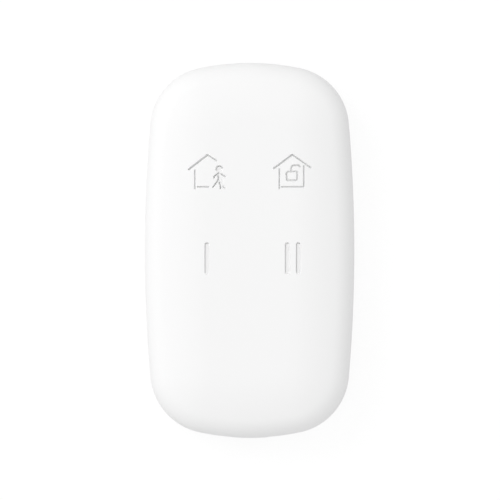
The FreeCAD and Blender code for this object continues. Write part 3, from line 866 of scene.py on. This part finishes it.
HOUSE_WHOLE = (
    Stroke(ROOF, ((-3.12, 0.41), (-0.10, 2.65))),
    Stroke(WALL, ((-0.10, 2.69), (3.04, 0.50)), FIRM),
    Stroke(WALL, ((-2.24, 0.27), (-2.24, -3.00)), FIRM),
    Stroke(WALL, ((-1.85, -2.70), (1.85, -2.70), (1.85, 0.76)), FIRM),
)
LOCK_FOOT = ((0.74, -0.55), (0.74, -1.50), (0.58, -1.61), (-0.80, -1.61), (-0.98, -1.50), (-1.06, -0.46))
LOCK_TOP = ((-1.06, -0.46), (-0.86, -0.17), (-0.34, -0.14), (0.60, -0.14), (0.74, -0.24), (0.74, -0.55))
SHACKLE = ((-0.34, -0.14), (-0.22, 0.60), (0.02, 0.88), (0.96, 0.92), (1.24, 0.66))
OPEN_PADLOCK = tuple(Stroke(LOCK, line, FIRM) for line in (LOCK_FOOT, LOCK_TOP, SHACKLE))
BAR_LINE = ((0.0, 2.26), (0.0, -2.3))
BAR_EDGE = ((-0.3, -2.34), (-0.3, 2.3), (-0.19, 2.5), (0.04, 2.57), (0.24, 2.48))


def bar(x: float) -> tuple:
    """One bar of a number: a shallow trough, deeper along its left side and round its top.

    Args:
        x: its middle across the key.

    Returns:
        The strokes of the trough and of its deep edge.
    """
    trough, edge = (tuple((x + across, y) for across, y in line) for line in (BAR_LINE, BAR_EDGE))
    return Stroke(BAR, trough, BAR_DEPTH), Stroke(EDGE, edge, EDGE_DEPTH)


class Sign(Enum):
    """What each key shows."""

    ARM = HOUSE_LEFT + WALKING_FIGURE
    DISARM = HOUSE_WHOLE + OPEN_PADLOCK
    ONE = bar(0.04)
    TWO = bar(-0.91) + bar(0.94)


# The pieces


@dataclass
class PressZone:
    """The soft zone of the face over one key, seamless at rest, which dents when the key is pressed."""

    name: str
    sign: Sign
    x: float
    y: float
    form: Pebble
    shop: PaintShop
    wall: float
    reach: float = 5.86
    cells: int = 180
    middle_cell: float = 0.75
    gather_power: int = 5
    groove_depth: float = 0.52
    groove_softness: float = 0.15
    dent_width: float = 3.2
    weld: float = 0.0001

    def sunk_and_shaded(self, x: np.ndarray, y: np.ndarray) -> np.ndarray:
        """How deep the sign lies, as a share of its full depth, which also sets the painted shade in the
        grooves.

        Args:
            x: places across, from the zone's middle.
            y: places along, from the zone's middle.

        Returns:
            The shares, 0 on the open face.
        """
        deepest = np.zeros(x.shape)
        for stroke in self.sign.value:
            share = np.clip(0.5 - stroke.distance(x, y) / self.groove_softness, 0.0, 1.0)
            deepest = np.maximum(deepest, stroke.depth * share * share * (3 - 2 * share))
        return deepest

    def plate(self) -> Piece:
        """A flat eight-sided plate, one millimetre thick, with its finest cells in the middle.

        Returns:
            The plate.
        """
        centre = (self.x * MM, self.y * MM, 0.0)
        counts = {"x_subdivisions": self.cells, "y_subdivisions": self.cells}
        bpy.ops.mesh.primitive_grid_add(**counts, size=2 * self.reach * MM, location=centre)
        piece = settled(self.name + "_key_face")
        points = points_of(piece)
        share = (points - centre) / (self.reach * MM)
        share = self.middle_cell * share + (1 - self.middle_cell) * share**self.gather_power
        set_points(piece, centre + share * self.reach * MM)
        with editing(piece, "FACE"):
            for sx, sy in ((-1, -1), (-1, 1), (1, -1), (1, 1)):
                normal = Vector((sx, sy, 0)).normalized()
                corner = Vector(centre) + normal * self.reach * MM
                bpy.ops.mesh.select_all(action="SELECT")
                bpy.ops.mesh.bisect(
                    plane_co=corner, plane_no=normal, clear_outer=True, threshold=self.weld * MM
                )
            bpy.ops.mesh.select_all(action="SELECT")
            bpy.ops.mesh.extrude_region_move(TRANSFORM_OT_translate={"value": (0, 0, MM)})
        return piece

    def build(self) -> Piece:
        """Shapes the zone with its sign cut in, dresses it and hides the frame's key pad.

        Returns:
            The finished piece.
        """
        piece = self.plate()
        points = points_of(piece)
        x, y = points[:, 0] / MM, points[:, 1] / MM
        upper = points[:, 2] > MM / 2
        sunk_and_shaded = np.where(upper, self.sunk_and_shaded(x - self.x, y - self.y), 0.0)
        surface = np.where(upper, self.form.face_height(x, y), self.form.face_height(x, y, self.wall))
        points[:, 2] = (surface - sunk_and_shaded * self.groove_depth) * MM
        set_points(piece, points)
        # The depth share is kept on the mesh, where the skin's material darkens the grooves by it: painted
        # shade
        shade_mark = piece.data.attributes.new(RECESS_SHADE, "FLOAT", "POINT")
        shade_mark.data.foreach_set("value", sunk_and_shaded)
        outward(piece)
        self.shop.dress(piece, Finish.SOFT_SKIN)
        self.bend(piece)
        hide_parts(self.name + "_key_pad")
        return piece

    def bend(self, piece: Piece) -> None:
        """Lays the mesh out along its distance from the eight-sided border, then puts it back.

        Each vertex goes to that distance over the dent width along X while the mesh's transform is baked
        in, and then returns to its place.

        Args:
            piece: the zone's mesh.
        """
        points = points_of(piece)
        across, along = np.abs(points[:, :2] / MM - (self.x, self.y)).T
        border = self.reach - np.maximum(np.maximum(across, along), (across + along) * math.sqrt(0.5))
        laid_out = np.zeros_like(points)
        laid_out[:, 0] = border / self.dent_width
        set_points(piece, laid_out)
        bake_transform(piece)
        set_points(piece, points)


@dataclass
class SoftFront:
    """The soft skin of the face and its four press zones."""

    form: Pebble
    shop: PaintShop
    wall: float = 0.9
    flat_step: float = 0.15
    foot_height: float = 0.3
    key_x: float = 7.2
    upper_row: float = 13.3
    lower_row: float = -1.35
    light_reach: float = 1.08
    light_y: float = 19.5
    light_top: float = 11.5
    sides: int = 8

    def section(self) -> Section:
        """Runs down the outside of the skin and up its inside.

        Returns:
            Inset and height of each ring.
        """
        form = self.form
        flat, split = form.plateau_inset + self.flat_step, form.split_height
        edge, middle = form.chamfer, form.chamfer_middle
        foot = [(0.0, split + self.foot_height), (0.0, split + edge), (middle, split + middle), (edge, split)]
        inside = [(self.wall, split), *form.front_curve(self.wall)[::-1], (flat, form.thickness - self.wall)]
        return [(flat, form.thickness), *form.front_curve(), *foot, *inside]

    def zones(self) -> list[PressZone]:
        """Gives each key its press zone.

        Returns:
            The four zones.
        """
        places = (
            ("arm", Sign.ARM, -self.key_x, self.upper_row),
            ("disarm", Sign.DISARM, self.key_x, self.upper_row),
            ("one", Sign.ONE, -self.key_x, self.lower_row),
            ("two", Sign.TWO, self.key_x, self.lower_row),
        )
        return [PressZone(*place, self.form, self.shop, self.wall) for place in places]

    def build(self) -> list[Piece]:
        """Grows the skin, cuts out the eight-sided rooms of the zones and the light, and builds the zones.

        Returns:
            The pieces.
        """
        skin = ring_wall("soft_front_skin", self.form, self.section())
        turn = math.pi / self.sides
        rooms = [(zone.x, zone.y, zone.reach, THROUGH) for zone in self.zones()]
        for x, y, reach, top in (*rooms, (0.0, self.light_y, self.light_reach, self.light_top)):
            cutter = drum(self.sides, reach / math.cos(turn), self.form.split_height, top, y, x)
            with editing(cutter):
                bpy.ops.transform.rotate(value=turn, orient_axis="Z", center_override=(x * MM, y * MM, 0.0))
            combine(skin, cutter)
        self.shop.dress(skin, Finish.SOFT_SKIN)
        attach(skin, HOUSING)
        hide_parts("front_skin")
        return [skin, *[zone.build() for zone in self.zones()]]


@dataclass
class RearHalf:
    """The rear shell with its lanyard eye, lip tabs, cell stops and screw bosses."""

    form: Pebble
    shop: PaintShop
    wall: float = 1.4
    flat_step: float = 0.6
    screw_y: float = 26.0
    head_bore: float = 1.72
    head_seat: float = 1.5
    shank_bore: float = 1.02
    boss_radius: float = 2.5
    boss_top: float = 5.7
    eye_half_width: float = 2.35
    eye_floor: float = 1.3
    eye_height: float = 2.3
    eye_depth: float = 2.4
    eye_round: float = 0.5
    bar_half_width: float = 0.85
    bar_thickness: float = 1.1
    pad_half_width: float = 3.05
    pad_proud: float = 0.13
    pad_foot: float = 0.9
    pad_round: float = 0.7
    pad_below: float = 0.5
    block_wall: float = 1.0
    tab_inset: float = 2.15
    tab_inner_inset: float = 2.95
    tab_foot: float = 3.4
    tab_top: float = 5.5
    tab_half_length: float = 15.0
    cell_y: float = -10.8
    stop_radius: float = 10.3
    stop_wall: float = 0.8
    stop_top: float = 4.2
    stop_sides: int = 96
    stop_gap_half_width: float = 4.5
    clip_gap_half_width: float = 4.8
    weld: float = 0.0002

    def section(self) -> Section:
        """Runs up the outside of the shell and down its inside.

        Returns:
            Inset and height of each ring.
        """
        form = self.form
        flat, split = form.rear_rim_radius + self.flat_step, form.split_height
        edge, middle = form.chamfer, form.chamfer_middle
        lip = [(0.0, split - edge), (middle, split - middle), (edge, split), (self.wall, split)]
        return [(flat, 0.0), *form.rear_curve(), *lip, *form.rear_curve(self.wall)[::-1], (flat, self.wall)]

    def raised_pad(self) -> Piece:
        """The slightly proud place of the lanyard eye in the lower end, with its block inside.

        Returns:
            The block.
        """
        foot, top = self.pad_foot, self.form.split_height
        outer = [(inset - self.pad_proud, height) for inset, height in self.form.rear_curve()]
        outer[0] = (outer[0][0], -self.pad_below)
        body = ring_wall("eye_pad", self.form, [*outer, (-self.pad_proud, top)])
        inner_y = -self.form.length / 2 + self.eye_depth + self.block_wall
        size = (2 * self.pad_half_width, 2 * OUTSIDE, top + OVER - foot)
        keep = slab(size, (0.0, inner_y - OUTSIDE, (top + OVER + foot) / 2))
        round_edges(keep, self.pad_round, lambda edge: below(edge, top) and lengthwise(edge))
        combine(body, keep, "INTERSECT")
        return body

    def eye(self) -> Piece:
        """The room of the cord: a rounded slot behind an upright bar.

        Returns:
            The cutter.
        """
        end = -self.form.length / 2
        middle = self.eye_floor + self.eye_height / 2
        size = (2 * self.eye_half_width, self.eye_depth + OUTSIDE, self.eye_height)
        slot = slab(size, (0.0, end + (self.eye_depth - OUTSIDE) / 2, middle))
        round_edges(slot, self.eye_round, lengthwise)
        size = (2 * self.bar_half_width, self.bar_thickness + OUTSIDE, self.eye_height + OVER)
        combine(slot, slab(size, (0.0, end - self.pad_proud + (self.bar_thickness - OUTSIDE) / 2, middle)))
        return slot

    def lip_tabs(self) -> Piece:
        """The two low walls along the sides that reach into the frame, each on a thickened foot.

        Returns:
            Both walls.
        """
        foot, split, top = self.tab_foot, self.form.split_height, self.tab_top
        outer, inset, inner = self.wall / 2, self.tab_inset, self.tab_inner_inset
        tabs = ring_wall("tabs", self.form, [(outer, foot), (outer, split), (inset, split), (inset, top)])
        combine(tabs, ring_wall("core", self.form, [(inner, foot - OVER), (inner, top + OVER)]))
        size = (self.form.width, 2 * self.tab_half_length, THROUGH)
        combine(tabs, slab(size, (0.0, 0.0, 0.0)), "INTERSECT")
        return tabs

    def cell_stops(self) -> Piece:
        """Four curved stops on the floor that centre the coin cell.

        Returns:
            The stops.
        """
        outer = self.stop_radius + self.stop_wall
        stops = drum(self.stop_sides, outer, self.wall / 2, self.stop_top, self.cell_y)
        combine(stops, drum(self.stop_sides, self.stop_radius, -OVER, self.stop_top + OVER, self.cell_y))
        far = self.form.width
        for across, along in ((2 * self.stop_gap_half_width, far), (far, 2 * self.clip_gap_half_width)):
            combine(stops, slab((across, along, THROUGH), (0.0, self.cell_y, 0.0)))
        return stops

    def build(self) -> list[Piece]:
        """Grows the shell, adds the pad, tabs, stops and bosses and cuts the eye and the screw holes.

        Returns:
            The shell.
        """
        shell = ring_wall("rear_half_shell", self.form, self.section())
        places = (-self.screw_y, self.screw_y)
        bosses = [drum(ROUND_SIDES, self.boss_radius, self.wall / 2, self.boss_top, y) for y in places]
        for addition in (self.raised_pad(), self.lip_tabs(), self.cell_stops(), *bosses):
            combine(shell, addition, "UNION")
        combine(shell, self.eye())
        for y in places:
            combine(shell, drum(ROUND_SIDES, self.shank_bore, -OVER, self.boss_top + OVER, y))
            combine(shell, drum(ROUND_SIDES, self.head_bore, -OVER, self.head_seat, y))
        with editing(shell, "FACE"):
            bpy.ops.mesh.dissolve_degenerate(threshold=self.weld * MM)
        self.shop.dress(shell, Finish.REAR_PLASTIC)
        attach(shell, HOUSING)
        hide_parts("rear_shell")
        return [shell]


@dataclass
class PanHeadScrews:
    """The two screws, each with a domed head and a cross recess, driven in from the back."""

    shop: PaintShop
    screw_y: float
    seat: float
    face: float = 0.5
    tip: float = 8.8
    tip_length: float = 0.5
    tip_share: float = 0.45
    head_radius: float = 1.6
    head_round: float = 0.42
    shank_radius: float = 0.9
    recess_length: float = 1.9
    recess_width: float = 0.42
    recess_depth: float = 0.6

    def upper(self) -> Piece:
        """The screw near the top end.

        Returns:
            The screw.
        """
        y = self.screw_y
        screw = drum(ROUND_SIDES, self.head_radius, self.face, self.seat, y)
        middle = (self.face + self.seat) / 2
        round_edges(screw, self.head_round, lambda edge: below(edge, middle))
        with editing(screw, "FACE", "DESELECT"):
            mesh = bmesh.from_edit_mesh(screw.data)
            for face in mesh.faces:
                face.select_set(all(vertex.co.z > middle * MM for vertex in face.verts))
            bmesh.update_edit_mesh(screw.data)
            bpy.ops.mesh.inset(thickness=(self.head_radius - self.shank_radius) * MM)
            for length in (self.tip - self.tip_length - self.seat, self.tip_length):
                bpy.ops.mesh.extrude_region_move(TRANSFORM_OT_translate={"value": (0, 0, length * MM)})
            narrowed = (self.tip_share, self.tip_share, 1.0)
            bpy.ops.transform.resize(value=narrowed, center_override=(0.0, y * MM, self.tip * MM))
        top = self.face + self.recess_depth
        long, short = self.recess_length, self.recess_width
        for across, along in ((long, short), (short, long)):
            combine(screw, slab((across, along, top + OVER), (0.0, y, (top - OVER) / 2)))
        return screw

    def build(self) -> list[Piece]:
        """Both screws as one piece.

        Returns:
            The piece.
        """
        screws = self.upper()
        lower = copied(screws, "lower_pan_screw", Vector((0.0, -2 * self.screw_y * MM, 0.0)))
        select_only(screws)
        lower.select_set(True)
        bpy.ops.object.join()
        screws.name = "rear_pan_screws"
        self.shop.dress(screws, Finish.SCREW_STEEL)
        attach(screws, HOUSING)
        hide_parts("rear_screws")
        return [screws]


@dataclass
class SnapDomes:
    """The four sprung caps inside the switches, which flatten under their stems when a key is pressed."""

    shop: PaintShop
    foot_radius: float = 1.9
    crown_radius: float = 0.45
    side_reach: float = 1.6
    sheet: float = 0.07
    lift: float = 0.01
    rings: int = 12
    sides: int = 64
    weld: float = 0.001

    def pattern(self, rise: float) -> Piece:
        """One dome about the origin, standing on four feet, with its sides cut straight.

        Args:
            rise: the room from its foot to its crown.

        Returns:
            The dome.
        """
        shares = np.linspace(0.0, 1.0, self.rings + 1)
        radii = self.foot_radius + (self.crown_radius - self.foot_radius) * shares
        room = rise - 2 * self.lift - self.sheet
        heights = room * np.sin(math.pi / 2 * shares) + self.sheet + self.lift
        disc = {"vertices": self.sides, "radius": self.foot_radius * MM, "fill_type": "NGON"}
        bpy.ops.mesh.primitive_circle_add(**disc, location=(0, 0, heights[0] * MM))
        dome = settled("dome_pattern")
        with editing(dome, "FACE"):
            for step_in, step_up in zip(-np.diff(radii), np.diff(heights)):
                bpy.ops.mesh.inset(thickness=step_in * MM, depth=step_up * MM)
            for x, y in ((1, 0), (-1, 0), (0, 1), (0, -1)):
                side = Vector((x, y, 0))
                edge = side * self.side_reach * MM
                bpy.ops.mesh.select_all(action="SELECT")
                bpy.ops.mesh.bisect(plane_co=edge, plane_no=side, clear_outer=True, threshold=self.weld * MM)
        modifier = dome.modifiers.new("sheet", "SOLIDIFY")
        modifier.thickness = self.sheet * MM
        modifier.offset = -1.0
        bpy.ops.object.modifier_apply(modifier=modifier.name)
        outward(dome)
        return dome

    def build(self) -> list[Piece]:
        """Puts one dome into each switch, its feet on the housing's side and its crown on the key's.

        Returns:
            The domes.
        """
        pattern, found = None, []
        for name in ("arm", "disarm", "one", "two"):
            low, high = (Vector(corner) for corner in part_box(name + "_switch_dome"))
            x, y, _ = (low + high) / 2
            pattern = pattern or self.pattern((high.z - low.z) / MM)
            dome = copied(pattern, name + "_snap_dome", Vector((x, y, low.z)))
            self.shop.dress(dome, Finish.CONTACT_METAL)
            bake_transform(dome)
            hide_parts(name + "_switch_dome")
            found.append(dome)
        bpy.data.objects.remove(pattern, do_unlink=True)
        return found


@dataclass
class InnerWorks:
    """The carried-over solids inside the housing, which only need their finishes."""

    shop: PaintShop
    frame: dict

    def build(self) -> list[Piece]:
        """Dresses every carried-over node that still shows.

        Returns:
            The dressed nodes.
        """
        slots = {part["node"]: part["material_slot"] for part in self.frame["record"]["subparts"]}
        shown = {name: node for name, node in self.frame["nodes"].items() if not node.hide_render}
        for name, node in shown.items():
            self.shop.paint(node, slots[name])
        return list(shown.values())


# Studio


@dataclass
class Studio:
    """The pale floor, the lamps, the sky and the camera straight above the face."""

    form: Pebble
    lens: float = 400.0
    sensor: float = 36.0
    near: float = 0.01
    far: float = 20.0
    pixel: float = 0.1684
    frame_pixels: int = 500
    aim_x: float = 0.05
    aim_y: float = 0.04
    floor_size: float = 3.0
    floor_gap: float = 0.02
    floor_bounce: float = 0.7
    floor_glow: float = 0.86
    floor_tint: float = 0.16
    sky: float = 0.79
    lamps: tuple = (
        ("key", (-0.55, 0.45, 0.75), 0.5, 2.3),
        ("side", (-0.9, 0.25, 0.28), 0.4, 0.95),
        ("top", (0.0, 0.0, 1.1), 0.6, 0.65),
    )

    def camera(self) -> None:
        """Puts the camera above the middle of the face."""
        data = bpy.data.cameras.new("camera")
        data.lens = self.lens
        data.sensor_width = self.sensor
        data.clip_start = self.near
        data.clip_end = self.far
        camera = bpy.data.objects.new("camera", data)
        bpy.context.scene.collection.objects.link(camera)
        half_view = self.pixel * self.frame_pixels / 2
        widest = (self.form.rear_rim_radius + self.form.front_rim_centre) / 2
        distance = half_view * self.lens / (self.sensor / 2)
        camera.location = Vector((self.aim_x, self.aim_y, widest + distance)) * MM
        bpy.context.scene.camera = camera

    def floor(self) -> None:
        """Lays the pale floor, which looks white to the camera and keeps a faint shadow."""
        bpy.ops.mesh.primitive_plane_add(size=self.floor_size, location=(0, 0, -self.floor_gap * MM))
        plane = bpy.context.object
        plane.name = "floor"
        material = bpy.data.materials.new("floor")
        material.use_nodes = True
        nodes = material.node_tree.nodes
        nodes.clear()
        sheet = NodeSheet(material.node_tree)
        rays = sheet.add("LightPath", "Is Camera Ray", {}).node.outputs
        seen = sheet.add("Math", 0, {0: rays["Is Camera Ray"], 1: rays["Is Glossy Ray"]})
        seen = sheet.add("Math", 0, {0: seen, 1: rays["Is Transmission Ray"]}, use_clamp=True)
        bounce, tint = ((grey, grey, grey, 1.0) for grey in (self.floor_bounce, self.floor_tint))
        inputs = {SHARE: seen, FIRST_COLOUR: bounce, SECOND_COLOUR: tint}
        colour = sheet.add("Mix", MIXED_COLOUR, inputs, data_type="RGBA")
        diffuse = sheet.add("BsdfDiffuse", 0, {"Color": colour})
        strength = sheet.add("Math", 0, {0: seen, 1: self.floor_glow}, operation="MULTIPLY")
        glow = sheet.add("Emission", 0, {"Strength": strength})
        both = sheet.add("AddShader", 0, {0: diffuse, 1: glow})
        sheet.feed(nodes.new("ShaderNodeOutputMaterial"), {"Surface": both})
        plane.data.materials.append(material)

    def world(self) -> None:
        """Lights the room with an even sky that looks white to the camera."""
        world = bpy.data.worlds.new("sky")
        world.use_nodes = True
        sheet = NodeSheet(world.node_tree)
        seen = sheet.add("LightPath", "Is Camera Ray", {})
        level = sheet.add("MapRange", "Result", {"Value": seen, "To Min": self.sky, "To Max": 1.0})
        background = world.node_tree.nodes["Background"]
        sheet.feed(background, {"Color": (1.0, 1.0, 1.0, 1.0), "Strength": level})
        bpy.context.scene.world = world

    def light(self) -> None:
        """Hangs the soft lamps, each with its place, size and power, turned to the remote's middle."""
        for name, place, size, power in self.lamps:
            data = bpy.data.lights.new(name, "AREA")
            data.shape = "DISK"
            data.size = size
            data.energy = power
            lamp = bpy.data.objects.new(name, data)
            lamp.location = place
            lamp.rotation_euler = (-Vector(place)).to_track_quat("-Z", "Y").to_euler()
            bpy.context.scene.collection.objects.link(lamp)

    def build(self) -> None:
        """Sets up the whole studio."""
        bpy.context.scene.view_settings.view_transform = "Standard"
        self.camera()
        self.floor()
        self.world()
        self.light()


def main() -> None:
    """Builds the remote around its frame and sets up the studio."""
    logging.basicConfig(level=logging.INFO, format="%(message)s")
    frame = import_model()
    form = Pebble()
    shop = PaintShop()
    Studio(form).build()
    rear = RearHalf(form, shop)
    screws = PanHeadScrews(shop, rear.screw_y, rear.head_seat)
    for assembly in (SoftFront(form, shop), rear, screws, SnapDomes(shop), InnerWorks(shop, frame)):
        for piece in assembly.build():
            log.info("%s: %d faces", piece.name, len(piece.data.polygons))


if __name__ == "__main__":
    main()
